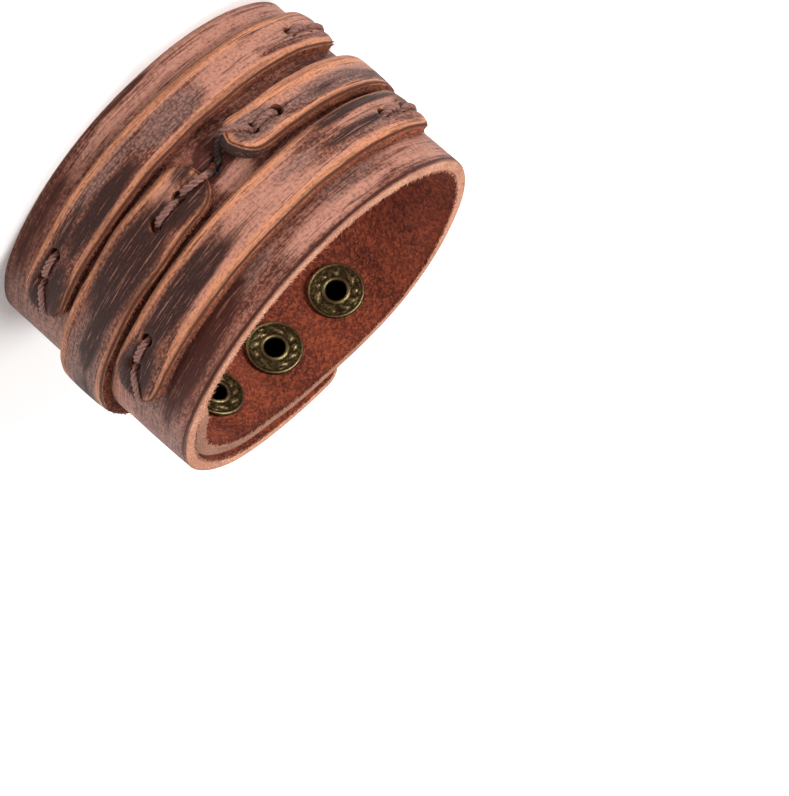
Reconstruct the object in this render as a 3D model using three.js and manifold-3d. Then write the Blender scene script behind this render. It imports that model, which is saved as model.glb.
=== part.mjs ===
// Leather cuff bracelet, closed at the back with snaps, standing on its lower rim.
// Millimetres, +Z up along the wrist's axis. The three straps face -Y and the snaps +Y.
import * as THREE from 'three';
import { mergeVertices } from 'three/addons/utils/BufferGeometryUtils.js';
import Module from 'manifold-3d';

// Leather
const BAND_WIDTH = 45;
const BAND_THICKNESS = 2.2;
const STRAP_THICKNESS = 2.4;
const STRAP_WIDTH = 10;
const STRAP_CORNER = 0.95; // a strap end's corner radius, as a share of its half width
const STRAP_GAP = 1.1; // between two straps that run side by side
const SEAT_GAP = 0.3; // clearance between pieces that touch

// The loop is the middle of the band's outer layer, seen from above
const LOOP_HALF_WIDTH = 34.5;
const LOOP_HALF_DEPTH = 31.2;
const FLAP_LENGTH = 70; // stretch where the outer layer covers the inner one
const FLAP_TIP_TURN = 0.237; // where the flap's tip lies, as a share of the loop
const FLAP_CORNER = 6.5;
const INNER_CORNER = 4;
const SNAP_SPACING = 2.6; // between the two layers at the closed snap
const RAMP_LENGTH = 28; // over which the inner layer comes out from under the flap
const LAYER_SPREAD = 0.9; // how much further they stand apart at the covered snap
const SPREAD_LENGTH = 26.5;
const CLOSING_START = 20; // from here on the inner layer closes up to the outer one
const CLOSING_LENGTH = 30;

// Snaps
const SNAP_FROM_TIP = 10.4;
const SNAP_PITCH = 16.3; // along the inner layer
const SNAP_ROWS_APART = 25;
const FLANGE_RADIUS = 5.25;
const FLANGE_HEIGHT = 0.9;
const FLANGE_EDGE = 0.3;
const POST_HOLE_RADIUS = 1.9;
const BARREL_WALL = 0.5;
const STUD_BASE_RADIUS = 4.4;
const STUD_BASE_HEIGHT = 0.4;
const STUD_WALL = 0.65;
const STUD_EDGE = 0.25;
const SOCKET_RADIUS = 6;
const SOCKET_WEB = 0.4;
const CAP_RADIUS = 6.2;
const CAP_HEIGHT = 1.6;
const CAP_EDGE = 0.5;
const METAL_SIDES = 16;

// Thread holes
const STITCH_RADIUS = 1.05;
const STITCH_FROM_END = 6.4;
const MIDDLE_STITCH_FROM_END = 5.3;
const STITCH_PITCH = 5.6;
const STITCH_DROP = 1.4; // the outer straps' right-hand holes lie this far under the middle line
const STITCH_BEYOND = 2.9; // the hole in the band, past the strap's end
const HOLE_SIDES = 8;

const TIP_LIFT = 2.6; // how far the left middle strap's tip stands off the band
const TIP_LIFT_LENGTH = 9;
const PLAN_STEP = 3.2; // longest chord along the loop
const DIRECTION_REACH = 0.5; // each way along the band, for its direction at a place
const TAPE_STEP = 0.1; // step of the tape that measures along the band

// Stations round the loop, anticlockwise from the right bend, in shares of its half sizes
const LOOP_STATIONS = [
  { x: 1.0, y: 0.0 },
  { x: 0.85, y: 0.54 },
  { x: 0.43, y: 0.89 },
  { x: -0.08, y: 1.0 },
  { x: -0.56, y: 0.86 },
  { x: -0.9, y: 0.47 },
  { x: -1.0, y: -0.05 },
  { x: -0.81, y: -0.54 },
  { x: -0.44, y: -0.88 },
  { x: 0.03, y: -1.0 },
  { x: 0.49, y: -0.86 },
  { x: 0.86, y: -0.5 },
];

// Straps: start and end as shares of the loop, width as a share of STRAP_WIDTH
const UPPER_STRAP = { from: 0.517, to: 0.92, width: 1.0 };
const MIDDLE_LEFT = { from: 0.352, to: 0.706, width: 0.84 };
const MIDDLE_RIGHT = { from: 0.732, to: 1.127, width: 1.07 };
const LOWER_STRAP = { from: 0.517, to: 0.918, width: 0.92 };
const MIDDLE_HEIGHT = 0.476; // middle row's height, as a share of BAND_WIDTH
const MIDDLE_LEFT_RISE = 0.08; // the left piece lies this share of its width higher

const wasm = await Module();
wasm.setup();

const loop = new THREE.CatmullRomCurve3(
  LOOP_STATIONS.map((p) => new THREE.Vector3(p.x * LOOP_HALF_WIDTH, p.y * LOOP_HALF_DEPTH, 0)),
  true,
  'catmullrom',
  0.5,
);
loop.arcLengthDivisions = 1200;
const LOOP_LENGTH = loop.getLength();

const FLAP_TIP = (1 + FLAP_TIP_TURN) * LOOP_LENGTH;
const INNER_END = FLAP_TIP - LOOP_LENGTH - FLAP_LENGTH;
const CLOSED_SNAP = FLAP_TIP - LOOP_LENGTH - SNAP_FROM_TIP;
const RAMP_END = CLOSED_SNAP + RAMP_LENGTH; // here the inner layer is back on the loop
const LAYER_STEP = BAND_THICKNESS + SNAP_SPACING;
const CUT_DEPTH = 3 * (BAND_THICKNESS + STRAP_THICKNESS); // reach of a tool that goes right through
const SEAM = 0.75 * LOOP_LENGTH; // at the front the band is one layer under the straps

const ease = (q) => THREE.MathUtils.smoothstep(q, 0, 1);

// How far the band lies inside the loop at distance s along it: only under the flap
function inset(s) {
  const ramp = ease((RAMP_END - s) / (RAMP_END - CLOSED_SNAP));
  const beyond = THREE.MathUtils.clamp((CLOSED_SNAP - s) / SPREAD_LENGTH, 0, 1);
  const closing = ease((CLOSING_START - s) / CLOSING_LENGTH);
  const spread = LAYER_SPREAD * Math.sin(Math.PI * beyond) ** 2;
  return LAYER_STEP * ramp + spread - (SNAP_SPACING - SEAT_GAP) * closing;
}

function loopFrame(s) {
  const turn = THREE.MathUtils.euclideanModulo(s / LOOP_LENGTH, 1);
  const along = loop.getTangentAt(turn);
  const out = new THREE.Vector3(along.y, -along.x, 0);
  return { point: loop.getPointAt(turn), along, out };
}

// The band's own middle line, with the direction along it and the one out of the wrist hollow
function bandFrame(s) {
  const at = (d) => {
    const frame = loopFrame(s + d);
    return frame.point.addScaledVector(frame.out, -inset(s + d));
  };
  const along = at(DIRECTION_REACH).sub(at(-DIRECTION_REACH)).normalize();
  return { point: at(0), along, out: new THREE.Vector3(along.y, -along.x, 0) };
}

// The place on the loop that lies a taped distance further along the band itself
function tapeAlong(s, distance) {
  const step = Math.sign(distance) * TAPE_STEP;
  let here = s;
  for (let taped = 0; taped < Math.abs(distance); here += step) {
    taped += bandFrame(here).point.distanceTo(bandFrame(here + step).point);
  }
  return here;
}

function toSolid(geometry) {
  geometry.deleteAttribute('normal');
  geometry.deleteAttribute('uv');
  const merged = mergeVertices(geometry, 1e-4);
  const mesh = new wasm.Mesh({
    numProp: 3,
    vertProperties: new Float32Array(merged.attributes.position.array),
    triVerts: new Uint32Array(merged.index.array),
  });
  return new wasm.Manifold(mesh);
}

function toGeometry(solid) {
  const mesh = solid.getMesh();
  const geometry = new THREE.BufferGeometry();
  geometry.setAttribute('position', new THREE.BufferAttribute(mesh.vertProperties, 3));
  geometry.setIndex(new THREE.BufferAttribute(mesh.triVerts, 1));
  geometry.computeVertexNormals();
  return geometry;
}

// A strip of leather bent round the loop, from one distance along it to another
function leatherStrip({ from, to, low, high, inner, outer, lift = () => 0 }) {
  const steps = Math.ceil((to - from) / PLAN_STEP);
  const middle = (s) => {
    const { point, out } = bandFrame(s);
    return point.addScaledVector(out, (inner + outer) / 2 + lift(s));
  };
  const outside = [];
  const inside = [];
  for (let i = 0; i <= steps; i += 1) {
    const s = from + ((to - from) * i) / steps;
    const along = middle(s + TAPE_STEP).sub(middle(s - TAPE_STEP)).normalize();
    const out = new THREE.Vector3(along.y, -along.x, 0);
    outside.push(middle(s).addScaledVector(out, (outer - inner) / 2));
    inside.push(middle(s).addScaledVector(out, (inner - outer) / 2));
  }
  const plan = new THREE.Shape([...outside, ...inside.reverse()].map((p) => new THREE.Vector2(p.x, p.y)));
  const geometry = new THREE.ExtrudeGeometry(plan, { depth: high - low, bevelEnabled: false });
  geometry.translate(0, 0, low);
  return toSolid(geometry);
}

// Puts a tool on the band at distance s and height z: its X along the band, its Z outwards
function seatOnBand(geometry, s, z, direction = 1) {
  const { point, along, out } = bandFrame(s);
  const up = new THREE.Vector3(0, 0, direction);
  const matrix = new THREE.Matrix4().makeBasis(along.multiplyScalar(direction), up, out);
  matrix.setPosition(point.x, point.y, z);
  return geometry.applyMatrix4(matrix);
}

// What a rounded end leaves off: the ground round two corners of the given radius
function endCutter(width, corner) {
  const half = width / 2;
  const reach = half + SEAT_GAP;
  const shape = new THREE.Shape();
  shape.moveTo(-corner, reach);
  shape.lineTo(-corner, half);
  shape.absarc(-corner, half - corner, corner, Math.PI / 2, 0, true);
  shape.absarc(-corner, corner - half, corner, 0, -Math.PI / 2, true);
  shape.lineTo(-corner, -reach);
  shape.lineTo(corner, -reach);
  shape.lineTo(corner, reach);
  const options = { depth: 2 * CUT_DEPTH, bevelEnabled: false, curveSegments: 5 };
  return new THREE.ExtrudeGeometry(shape, options).translate(0, 0, -CUT_DEPTH);
}

function roundEnds(strip, { from, to, low, high, cornerFrom, cornerTo }) {
  const middle = (low + high) / 2;
  const start = seatOnBand(endCutter(high - low, cornerFrom), from, middle, -1);
  const end = seatOnBand(endCutter(high - low, cornerTo), to, middle, 1);
  return strip.subtract(toSolid(start)).subtract(toSolid(end));
}

// A round tool through the leather, or from one height on it to another
function drill(s, z, radius, sides, inner = -CUT_DEPTH, outer = CUT_DEPTH) {
  const geometry = new THREE.CylinderGeometry(radius, radius, outer - inner, sides);
  geometry.rotateX(Math.PI / 2).translate(0, 0, (inner + outer) / 2);
  return toSolid(seatOnBand(geometry, s, z));
}

// A turned metal piece: profile pairs of radius and height, seated on the band
function turned(profile, s, z) {
  const geometry = new THREE.LatheGeometry(profile.map(([r, h]) => new THREE.Vector2(r, h)), METAL_SIDES);
  geometry.rotateX(Math.PI / 2);
  return toSolid(seatOnBand(geometry, s, z));
}

const group = new THREE.Group();
function addMesh(name, solid, look) {
  const mesh = new THREE.Mesh(toGeometry(solid), new THREE.MeshStandardMaterial(look));
  mesh.name = name;
  group.add(mesh);
}

const BAND_LOOK = { color: 0x84564b, roughness: 0.6, metalness: 0 };
const STRAP_LOOK = { color: 0x7a5248, roughness: 0.5, metalness: 0 };
const BRASS_LOOK = { color: 0x6b6350, roughness: 0.4, metalness: 1 };

// Heights of the three rows of straps, stacked from the middle one
const middleZ = MIDDLE_HEIGHT * BAND_WIDTH;
const middleHalf = (MIDDLE_RIGHT.width * STRAP_WIDTH) / 2;
const upperHalf = (UPPER_STRAP.width * STRAP_WIDTH) / 2;
const lowerHalf = (LOWER_STRAP.width * STRAP_WIDTH) / 2;
const leftHalf = (MIDDLE_LEFT.width * STRAP_WIDTH) / 2;
const upperZ = middleZ + middleHalf + STRAP_GAP + upperHalf;
const lowerZ = middleZ - middleHalf - STRAP_GAP - lowerHalf;
const middleLeftZ = middleZ + MIDDLE_LEFT_RISE * 2 * leftHalf;

const leftTip = MIDDLE_LEFT.to * LOOP_LENGTH;
const liftedTip = (s) => TIP_LIFT * Math.max(0, 1 - (leftTip - s) / TIP_LIFT_LENGTH) ** 2;
const straps = [
  { name: 'lower_strap', ...LOWER_STRAP, z: lowerZ, half: lowerHalf, drop: STITCH_DROP },
  {
    name: 'middle_strap_left',
    ...MIDDLE_LEFT,
    z: middleLeftZ,
    half: leftHalf,
    lift: liftedTip,
    stitched: MIDDLE_STITCH_FROM_END,
  },
  {
    name: 'middle_strap_right',
    ...MIDDLE_RIGHT,
    z: middleZ,
    half: middleHalf,
    stitched: MIDDLE_STITCH_FROM_END,
  },
  { name: 'upper_strap', ...UPPER_STRAP, z: upperZ, half: upperHalf, drop: STITCH_DROP },
];

// Two holes at each end of a strap, and one in the band just past it
const tieHole = { s: ((MIDDLE_LEFT.to + MIDDLE_RIGHT.from) / 2) * LOOP_LENGTH, z: middleZ };
function stitchHoles(strap) {
  const from = strap.from * LOOP_LENGTH;
  const to = strap.to * LOOP_LENGTH;
  const { stitched = STITCH_FROM_END, drop = 0 } = strap;
  const inStrap = [];
  for (const reach of [stitched, stitched + STITCH_PITCH]) {
    inStrap.push({ s: from + reach, z: strap.z }, { s: to - reach, z: strap.z - drop });
  }
  const beyond = [{ s: from - STITCH_BEYOND, z: strap.z }, { s: to + STITCH_BEYOND, z: strap.z }];
  const apart = beyond.filter((p) => Math.abs(p.s - tieHole.s) > STITCH_BEYOND);
  return { inStrap, inBand: [...inStrap, ...apart] };
}
const punch = (solid, places, radius, sides) =>
  places.reduce((rest, p) => rest.subtract(drill(p.s, p.z, radius, sides)), solid);

for (const strap of straps) {
  const span = {
    from: strap.from * LOOP_LENGTH,
    to: strap.to * LOOP_LENGTH,
    low: strap.z - strap.half,
    high: strap.z + strap.half,
  };
  const inner = BAND_THICKNESS / 2 + SEAT_GAP;
  const corner = STRAP_CORNER * strap.half;
  let solid = leatherStrip({ ...span, inner, outer: inner + STRAP_THICKNESS, lift: strap.lift });
  solid = roundEnds(solid, { ...span, cornerFrom: corner, cornerTo: corner });
  addMesh(strap.name, punch(solid, stitchHoles(strap).inStrap, STITCH_RADIUS, HOLE_SIDES), STRAP_LOOK);
}

// Snap places: three posts in each row, the middle one closed under the flap
const snapRows = { lower: (BAND_WIDTH - SNAP_ROWS_APART) / 2, upper: (BAND_WIDTH + SNAP_ROWS_APART) / 2 };
const snapPlaces = {
  open: tapeAlong(CLOSED_SNAP, SNAP_PITCH),
  closed: CLOSED_SNAP,
  covered: tapeAlong(CLOSED_SNAP, -SNAP_PITCH),
};
const flapSnap = CLOSED_SNAP + LOOP_LENGTH;
const barrelRadius = POST_HOLE_RADIUS + BARREL_WALL;
const snapHole = barrelRadius + SEAT_GAP;
const face = BAND_THICKNESS / 2;
const studTop = face + SNAP_SPACING - 2 * SEAT_GAP - SOCKET_WEB; // just clear of the socket's web

// The post's flange lies in the wrist hollow and its barrel runs out through the leather
function postProfile() {
  const under = -face - SEAT_GAP;
  const shown = under - FLANGE_HEIGHT;
  const barrelEnd = studTop - STUD_EDGE;
  return [
    [0, barrelEnd - BARREL_WALL],
    [POST_HOLE_RADIUS, barrelEnd - BARREL_WALL],
    [POST_HOLE_RADIUS, shown + FLANGE_EDGE],
    [POST_HOLE_RADIUS + FLANGE_EDGE, shown],
    [FLANGE_RADIUS - FLANGE_EDGE, shown],
    [FLANGE_RADIUS, shown + FLANGE_EDGE],
    [FLANGE_RADIUS, under],
    [barrelRadius, under],
    [barrelRadius, barrelEnd],
    [0, barrelEnd],
  ];
}

// The stud is a ring round the post's barrel, on the leather's outer face
function studProfile() {
  const under = face + SEAT_GAP;
  const bore = barrelRadius + SEAT_GAP;
  const ball = bore + STUD_WALL;
  return [
    [bore, under],
    [STUD_BASE_RADIUS, under],
    [STUD_BASE_RADIUS, under + STUD_BASE_HEIGHT],
    [ball, under + STUD_BASE_HEIGHT],
    [ball, studTop - STUD_EDGE],
    [ball - STUD_EDGE, studTop],
    [bore, studTop],
    [bore, under],
  ];
}

// Seen from the flap: the cap's dome lies outside, its barrel runs in through the leather
function capProfile() {
  const under = face + SEAT_GAP;
  const barrelEnd = -face - SEAT_GAP - SOCKET_WEB;
  return [
    [0, barrelEnd],
    [barrelRadius, barrelEnd],
    [barrelRadius, under],
    [CAP_RADIUS, under],
    [CAP_RADIUS, under + CAP_EDGE],
    [0.86 * CAP_RADIUS, under + 0.7 * CAP_HEIGHT],
    [0.5 * CAP_RADIUS, under + 0.94 * CAP_HEIGHT],
    [0, under + CAP_HEIGHT],
  ];
}

// The socket is a ring under the flap that takes the stud, held by a web round the cap's barrel
function socketProfile() {
  const top = -face - SEAT_GAP;
  const bore = barrelRadius + SEAT_GAP;
  const mouth = bore + STUD_WALL + SEAT_GAP;
  const bottom = face - LAYER_STEP + 2 * SEAT_GAP + STUD_BASE_HEIGHT;
  return [
    [bore, top],
    [bore, top - SOCKET_WEB],
    [mouth, top - SOCKET_WEB],
    [mouth, bottom],
    [SOCKET_RADIUS, bottom],
    [SOCKET_RADIUS, top],
    [bore, top],
  ];
}

for (const [row, z] of Object.entries(snapRows)) {
  for (const [place, s] of Object.entries(snapPlaces)) {
    addMesh(`snap_post_${row}_${place}`, turned(postProfile(), s, z), BRASS_LOOK);
    addMesh(`snap_stud_${row}_${place}`, turned(studProfile(), s, z), BRASS_LOOK);
  }
  addMesh(`snap_socket_${row}`, turned(socketProfile(), flapSnap, z), BRASS_LOOK);
  addMesh(`snap_cap_${row}`, turned(capProfile(), flapSnap, z), BRASS_LOOK);
}

// Where a flange or a socket presses on the hollow side, the leather is flat under it
function snapSeats(half, places, radius) {
  const seat = (p) => drill(p.s, p.z, radius + SEAT_GAP, METAL_SIDES, -CUT_DEPTH, -face);
  return places.reduce((rest, p) => rest.subtract(seat(p)), punch(half, places, snapHole, METAL_SIDES));
}
const inRows = (distances) => Object.values(snapRows).flatMap((z) => distances.map((s) => ({ s, z })));

// Base band: one strip that laps over itself, made as two halves that join at the front
const stitchPlaces = straps.flatMap((strap) => stitchHoles(strap).inBand).concat(tieHole);
function bandHalf(from, to) {
  const half = leatherStrip({ from, to, low: 0, high: BAND_WIDTH, inner: -face, outer: face });
  const here = stitchPlaces.filter((p) => p.s > from && p.s < to);
  return punch(half, here, STITCH_RADIUS, HOLE_SIDES);
}
const innerCut = toSolid(seatOnBand(endCutter(BAND_WIDTH, INNER_CORNER), INNER_END, BAND_WIDTH / 2, -1));
const flapCut = toSolid(seatOnBand(endCutter(BAND_WIDTH, FLAP_CORNER), FLAP_TIP, BAND_WIDTH / 2));
const innerHalf = snapSeats(bandHalf(INNER_END, SEAM), inRows(Object.values(snapPlaces)), FLANGE_RADIUS);
const outerHalf = snapSeats(bandHalf(SEAM, FLAP_TIP), inRows([flapSnap]), SOCKET_RADIUS);
addMesh('base_band', innerHalf.subtract(innerCut).add(outerHalf.subtract(flapCut)), BAND_LOOK);

// The origin is at the middle of the whole thing's plan, on the surface it stands on
const middle = new THREE.Box3().setFromObject(group).getCenter(new THREE.Vector3());
group.position.set(-middle.x, -middle.y, 0);

export default group;
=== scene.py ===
# %% [markdown]
# # A wide leather wrist cuff
# The real thing is one strip of thick pull-up leather, bent into a loop and closed with two rows of snaps.
# Three straps of the same leather are stitched round its front with heavy waxed thread.
# Every leather piece is cut flat here, as a leather worker does, and then bent round the wrist.

import math
import random

import bmesh
import bpy
import numpy as np
from mathutils import Matrix, Vector, noise


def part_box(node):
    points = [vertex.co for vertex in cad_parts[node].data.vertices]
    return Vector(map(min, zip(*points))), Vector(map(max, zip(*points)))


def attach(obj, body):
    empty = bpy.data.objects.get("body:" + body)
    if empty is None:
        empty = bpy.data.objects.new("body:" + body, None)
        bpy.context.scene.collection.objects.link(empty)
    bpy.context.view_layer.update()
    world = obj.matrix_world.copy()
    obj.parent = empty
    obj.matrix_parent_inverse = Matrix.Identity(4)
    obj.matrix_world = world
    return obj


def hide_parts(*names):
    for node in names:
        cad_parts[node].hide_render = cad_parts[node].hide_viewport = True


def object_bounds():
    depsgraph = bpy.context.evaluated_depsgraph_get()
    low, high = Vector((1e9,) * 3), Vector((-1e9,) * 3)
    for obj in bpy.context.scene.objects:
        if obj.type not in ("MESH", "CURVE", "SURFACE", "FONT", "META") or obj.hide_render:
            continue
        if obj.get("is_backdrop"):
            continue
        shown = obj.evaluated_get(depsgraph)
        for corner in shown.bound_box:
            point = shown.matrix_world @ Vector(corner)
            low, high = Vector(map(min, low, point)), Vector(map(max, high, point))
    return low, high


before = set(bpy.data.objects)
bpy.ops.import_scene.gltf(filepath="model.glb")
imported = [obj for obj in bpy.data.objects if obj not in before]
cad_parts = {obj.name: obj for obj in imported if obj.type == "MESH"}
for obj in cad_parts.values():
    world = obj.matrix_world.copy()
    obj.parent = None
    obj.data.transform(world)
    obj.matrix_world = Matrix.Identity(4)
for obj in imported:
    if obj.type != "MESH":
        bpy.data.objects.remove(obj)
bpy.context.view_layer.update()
MM = 0.001


# %% Scene helpers
def show(name, data):
    """Puts a new object with this mesh, camera or light in the scene."""
    shown = bpy.data.objects.new(name, data)
    bpy.context.scene.collection.objects.link(shown)
    return shown


def mesh_from(bm, name):
    """Turns a bmesh into a mesh of this name, and frees it."""
    mesh = bpy.data.meshes.new(name)
    bm.to_mesh(mesh)
    bm.free()
    return mesh


# %% [markdown]
# The camera looks down a little from the front, far away with a long lens, and is turned far over to one
# side. It is built from its sight line, because a long lens and a strong roll are hard to place by
# turning angles.

# %% Camera
LOOK_DOWN = math.radians(17.623)
ROLL = math.radians(131.343)
CAMERA_DISTANCE = 0.82704
FRAME_WIDTH, FRAME_HEIGHT = 789, 796
FOCAL_LENGTH_PX = 4684.8
AIM = Vector((-0.0006, 0.0003, 0.0225))
AIM_PX = Vector((235.8, 231.9))
SENSOR_MM = 36

sight = Vector((0, math.cos(LOOK_DOWN), -math.sin(LOOK_DOWN)))
level = Vector((1, 0, 0))
above = level.cross(sight)
rolled_right = level * math.cos(ROLL) + above * math.sin(ROLL)
rolled_up = above * math.cos(ROLL) - level * math.sin(ROLL)
off_right = (AIM_PX.x - FRAME_WIDTH / 2) / FOCAL_LENGTH_PX
off_up = (FRAME_HEIGHT / 2 - AIM_PX.y) / FOCAL_LENGTH_PX
forward = (sight - rolled_right * off_right - rolled_up * off_up).normalized()
right = (rolled_right - forward * rolled_right.dot(forward)).normalized()
up = right.cross(forward)
turn = Matrix((right, up, -forward)).transposed().to_4x4()

camera_data = bpy.data.cameras.new("camera")
camera_data.sensor_width = SENSOR_MM
camera_data.lens = FOCAL_LENGTH_PX * SENSOR_MM / FRAME_HEIGHT
camera_data.clip_end = 20
camera = show("camera", camera_data)
camera.matrix_world = Matrix.Translation(AIM - sight * CAMERA_DISTANCE) @ turn
bpy.context.scene.camera = camera
print("lens, mm:", round(camera_data.lens, 1))

# %% [markdown]
# Colours are written as sRGB hex values and turned to linear light by one function. One more function
# adds a shader node with its settings and its inputs, which are plain values or other nodes' outputs.

# %% Colour and node helpers
def linear(shade):
    """An sRGB hex value as linear red, green, blue and alpha."""
    parts = [int(shade[i : i + 2], 16) / 255 for i in (1, 3, 5)]
    return [p / 12.92 if p <= 0.04045 else ((p + 0.055) / 1.055) ** 2.4 for p in parts] + [1.0]


def add(tree, kind, inputs=None, output=0, **settings):
    """Adds a shader node with its settings, joins its inputs, and returns one of its outputs."""
    node = tree.nodes.new("ShaderNode" + kind)
    for key, value in settings.items():
        setattr(node, key, value)
    for key, value in (inputs or {}).items():
        if isinstance(value, bpy.types.NodeSocket):
            tree.links.new(value, node.inputs[key])
        else:
            node.inputs[key].default_value = value
    return node.outputs[output]


COLOUR_MIX = {"data_type": "RGBA", "output": 2}  # the mix node's settings for colours


def new_material(name):
    """A material with an empty tree but for its output node."""
    material = bpy.data.materials.new(name)
    material.use_nodes = True
    tree = material.node_tree
    tree.nodes.clear()
    return material, tree, tree.nodes.new("ShaderNodeOutputMaterial")


# %% [markdown]
# A product photo on white needs a floor that is nearly white, an even pale surround, and large soft
# lights. The key light stands left of the front and high, so the hollow's left wall stays dark and the
# right half of the front falls off. A low light on the right gives the grey glow on the right bend. The
# backdrop light is behind the cuff and points straight down in a narrow beam, so it keeps the far floor
# white and misses the cuff.

# %% Floor and light
FLOOR_SIZE = 8
SURROUND_STRENGTH = 0.38
material, tree, out = new_material("matt_white_paint")
paint = add(tree, "BsdfPrincipled", {"Base Color": linear("#fbfaf9"), "Roughness": 0.9})
tree.links.new(paint, out.inputs["Surface"])
bm = bmesh.new()
bmesh.ops.create_grid(bm, x_segments=8, y_segments=8, size=FLOOR_SIZE / 2)
floor = show("floor", mesh_from(bm, "floor"))
floor.data.materials.append(material)
floor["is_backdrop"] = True

world = bpy.data.worlds.new("pale_surround")
world.use_nodes = True
world.node_tree.nodes["Background"].inputs["Color"].default_value = linear("#fffdfb")
world.node_tree.nodes["Background"].inputs["Strength"].default_value = SURROUND_STRENGTH
bpy.context.scene.world = world

FULL_BEAM = 180
FAR_FLOOR = Vector((0.1, 0.8, 0))
SOFT_LIGHTS = {  # place and size in metres, power in watts, beam in degrees, and what it is aimed at
    "key": {"place": (-0.5, -0.65, 0.8), "size": 0.35, "power": 11.6, "beam": FULL_BEAM, "aim": AIM},
    "right_glow": {"place": (0.95, 0.1, 0.35), "size": 0.4, "power": 3.9, "beam": FULL_BEAM, "aim": AIM},
    "top": {"place": (-0.1, 0.1, 1.1), "size": 0.5, "power": 7.2, "beam": FULL_BEAM, "aim": AIM},
    "backdrop": {"place": (0.1, 0.8, 0.5), "size": 0.5, "power": 2.0, "beam": 86, "aim": FAR_FLOOR},
}
for name, at in SOFT_LIGHTS.items():
    light_data = bpy.data.lights.new(name, "AREA")
    light_data.shape = "DISK"
    light_data.size = at["size"]
    light_data.energy = at["power"]
    light_data.spread = math.radians(at["beam"])
    light = show(name, light_data)
    place = Vector(at["place"])
    aimed = (at["aim"] - place).to_track_quat("-Z", "Y").to_matrix().to_4x4()
    light.matrix_world = Matrix.Translation(place) @ aimed
bpy.context.scene.view_settings.view_transform = "Standard"
print("lights:", ", ".join(SOFT_LIGHTS))

# %% [markdown]
# The band runs once round the wrist on a slightly lopsided oval and then laps over itself for a flap.
# The oval is a smooth closed curve through twelve stations, the same ones as in the part's source.
# A place on any leather piece is then three lengths: along the band, up from the lower rim, and out of it.

# %% The loop that everything is bent round
BAND_WIDTH, BAND_THICKNESS = 45.0, 2.2
LOOP_HALF_WIDTH, LOOP_HALF_DEPTH = 34.5, 31.2
STATIONS = [
    (1.0, 0.0), (0.85, 0.54), (0.43, 0.89), (-0.08, 1.0), (-0.56, 0.86), (-0.9, 0.47),
    (-1.0, -0.05), (-0.81, -0.54), (-0.44, -0.88), (0.03, -1.0), (0.49, -0.86), (0.86, -0.5),
]
POINTS_PER_SPAN = 100
REACH = 0.5  # how far ahead and behind a direction along the band is taken
FLAP_LENGTH, FLAP_TIP_TURN = 70.0, 0.237
SNAP_SPACING, SNAP_FROM_TIP, SNAP_PITCH = 2.6, 10.4, 16.3
RAMP_LENGTH, LAYER_SPREAD, SPREAD_LENGTH = 28.0, 0.9, 26.5
CLOSING_START, CLOSING_LENGTH, LAYER_GAP = 20.0, 30.0, 0.3

stations = np.array(STATIONS) * (LOOP_HALF_WIDTH, LOOP_HALF_DEPTH)
share = np.linspace(0, 1, POINTS_PER_SPAN, endpoint=False)[:, None]
spans = []
for i, here in enumerate(stations):
    before, following, beyond = stations[i - 1], stations[(i + 1) % 12], stations[(i + 2) % 12]
    leave, arrive = (following - before) / 2, (beyond - here) / 2
    square = 3 * (following - here) - 2 * leave - arrive
    cube = 2 * (here - following) + leave + arrive
    spans.append(here + leave * share + square * share**2 + cube * share**3)
loop = np.vstack(spans + [stations[:1]])
tape = np.concatenate([[0], np.cumsum(np.linalg.norm(np.diff(loop, axis=0), axis=1))])
LOOP_LENGTH = tape[-1]
FLAP_TIP = (1 + FLAP_TIP_TURN) * LOOP_LENGTH
INNER_END = FLAP_TIP - LOOP_LENGTH - FLAP_LENGTH
CLOSED_SNAP = FLAP_TIP - LOOP_LENGTH - SNAP_FROM_TIP
print("loop length, mm:", round(LOOP_LENGTH, 1), " flap tip at", round(FLAP_TIP, 1))


# %% Bending flat leather round the loop
def on_loop(s):
    """The plan place at distance s round the closed loop."""
    turned = np.mod(s, LOOP_LENGTH)
    return np.stack([np.interp(turned, tape, loop[:, k]) for k in (0, 1)], axis=-1)


def outward(track, s, reach):
    """Unit directions out of the wrist hollow, square to a track, at distances s."""
    along = track(s + reach) - track(s - reach)
    along /= np.linalg.norm(along, axis=-1, keepdims=True)
    return np.stack([along[..., 1], -along[..., 0]], axis=-1)


def inset(s):
    """How far the band lies inside the loop, under its own flap."""
    ramp = np.clip((CLOSED_SNAP + RAMP_LENGTH - s) / RAMP_LENGTH, 0, 1)
    past = np.clip((CLOSED_SNAP - s) / SPREAD_LENGTH, 0, 1)
    closing = np.clip((CLOSING_START - s) / CLOSING_LENGTH, 0, 1)
    step = (BAND_THICKNESS + SNAP_SPACING) * ramp**2 * (3 - 2 * ramp)
    spread = LAYER_SPREAD * np.sin(np.pi * past) ** 2
    return step + spread - (SNAP_SPACING - LAYER_GAP) * closing**2 * (3 - 2 * closing)


def band_middle(s):
    """The plan place of the band's middle surface at distance s, its hidden inner layer included."""
    s = np.asarray(s, dtype=float)
    return on_loop(s) - outward(on_loop, s, 0.05) * inset(s)[..., None]


def plan_of(s, h, lift=None, lean=0.0):
    """Plan positions at distances s along and heights h off the band's middle surface.

    A strap turns square to a track of its own, which lies `lean` off the band and rises by `lift`.
    """

    def track(q):
        rise = lean + (0 if lift is None else lift(q))
        return band_middle(q) + outward(band_middle, q, REACH) * np.asarray(rise)[..., None]

    return track(s) + outward(track, s, REACH) * (h - lean)[..., None]


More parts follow.
